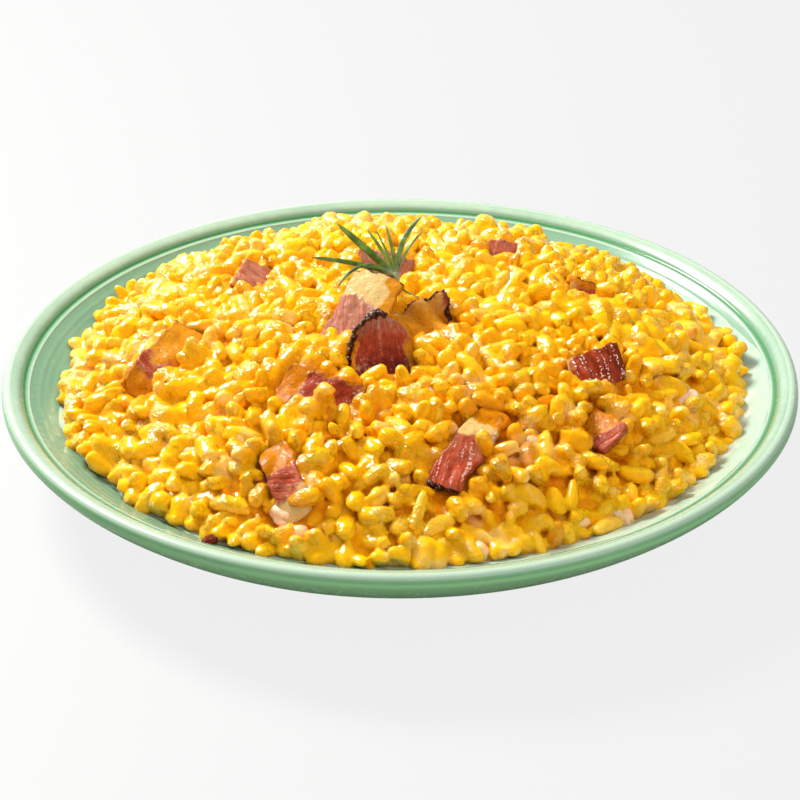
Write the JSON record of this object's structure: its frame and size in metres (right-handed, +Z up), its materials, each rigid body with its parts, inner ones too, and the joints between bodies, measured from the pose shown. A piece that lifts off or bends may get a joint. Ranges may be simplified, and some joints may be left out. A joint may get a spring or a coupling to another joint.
{
  "type": "pumpkin risotto in a bowl plate",
  "caption": "Heaped serving of pumpkin risotto with bacon pieces and a rosemary sprig, in a shallow ring-moulded ceramic bowl plate.",
  "frame": {"origin": "centre of the foot ring's resting face", "axes": "+Z up; -Y towards the eater, who sees the rosemary behind the largest piece of bacon; +X to the right"},
  "size_m": [0.23, 0.23, 0.0701],
  "materials": {
    "glaze": "glossy mint-green glaze, darker where it pools in the rings",
    "rice": "soft cooked rice in a creamy golden pumpkin sauce, moist sheen",
    "bacon": "fried streaky bacon, greasy sheen, translucent fat and charred edges",
    "herb": "fresh rosemary needles, waxy on top and pale beneath"
  },
  "bodies": {
    "root": {"plate": "glaze", "risotto": "rice", "rosemary": "herb", "bacon_fat_slab": "bacon", "bacon_charred_curl": "bacon", "bacon_crumpled": "bacon", "bacon_behind_sprig": "bacon", "bacon_back_left": "bacon", "bacon_left": "bacon", "bacon_middle_left": "bacon", "bacon_front_left": "bacon", "bacon_front_middle": "bacon", "bacon_right": "bacon", "bacon_front_right": "bacon", "bacon_back_right": "bacon", "bacon_back": "bacon"}
  },
  "joints": []
}
